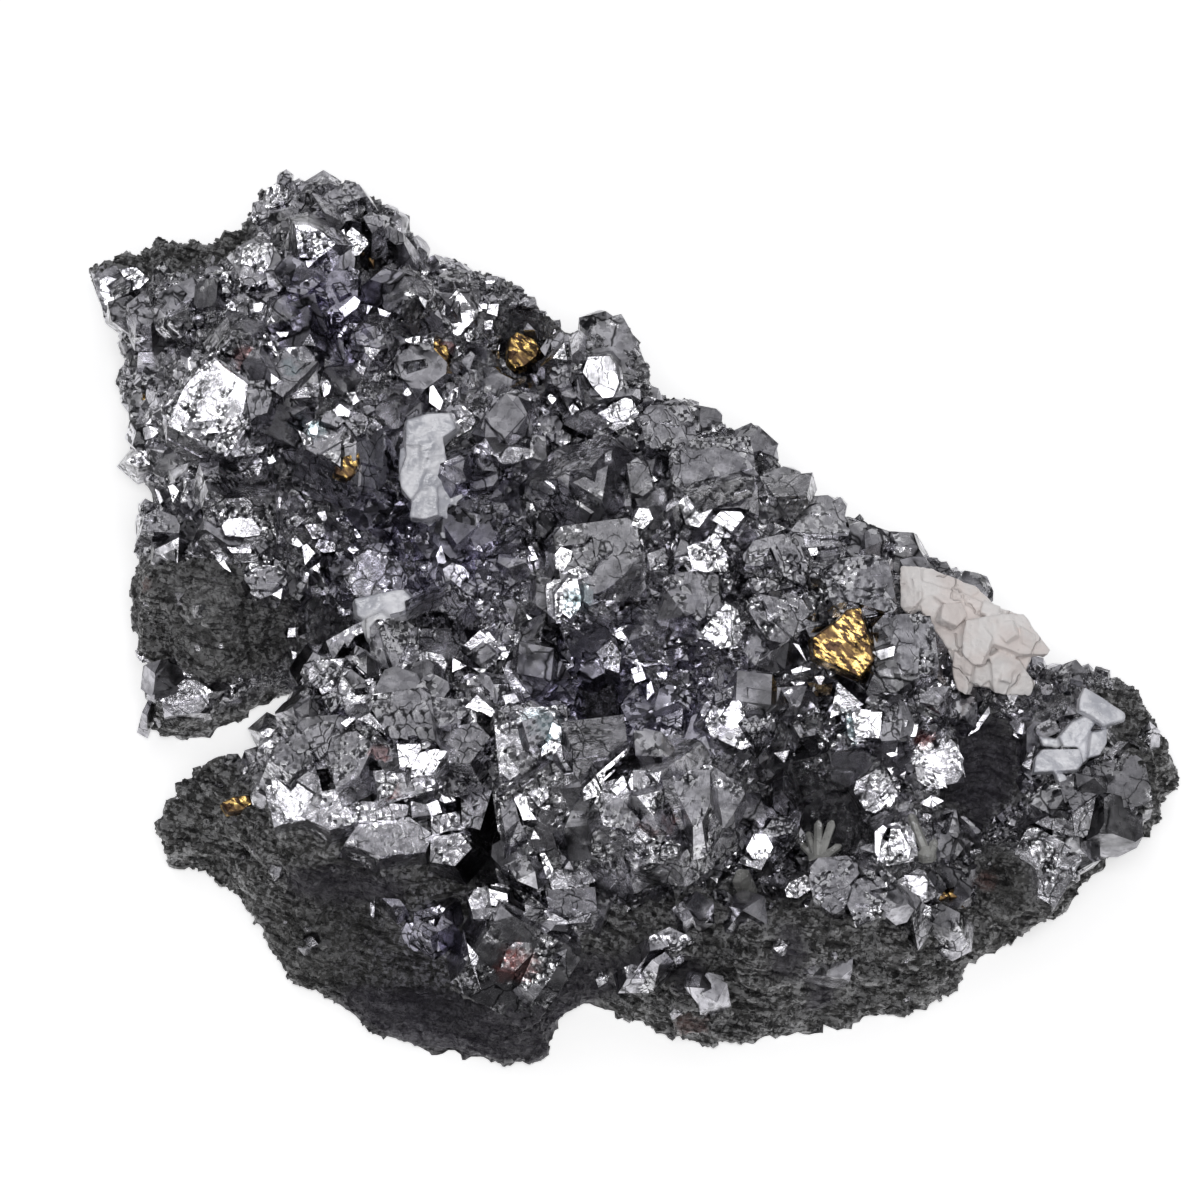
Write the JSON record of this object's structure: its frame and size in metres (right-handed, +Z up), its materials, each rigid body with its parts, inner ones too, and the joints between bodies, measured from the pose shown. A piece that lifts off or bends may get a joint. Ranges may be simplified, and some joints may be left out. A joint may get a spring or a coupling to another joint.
{
  "type": "skutterudite mineral specimen",
  "caption": "Hand-sized plate of lead-grey metallic cubes and cubo-octahedra on dark ore, with milky quartz, pale calcite blades and golden chalcopyrite.",
  "frame": {"origin": "on the flat underside, below the middle of the specimen", "axes": "+X to the right along the longest side, +Y to the back, +Z up, away from the surface it rests on"},
  "size_m": [0.1111, 0.0936, 0.0268],
  "materials": {
    "ore": "metallic lead-grey crystals with flat, bright faces on dull dark-grey ore",
    "quartz": "milky, translucent quartz with a glassy surface",
    "calcite": "pale pinkish-white blades, slightly translucent",
    "chalcopyrite": "brassy yellow metallic mineral, striated"
  },
  "bodies": {
    "root": {"ore_body": "ore", "quartz_prism": "quartz", "quartz_wedge": "quartz", "quartz_fan": "quartz", "quartz_blade": "quartz", "quartz_needles": "quartz", "quartz_spray": "quartz", "calcite_blades": "calcite", "chalcopyrite_large": "chalcopyrite", "chalcopyrite_small": "chalcopyrite"}
  },
  "joints": []
}
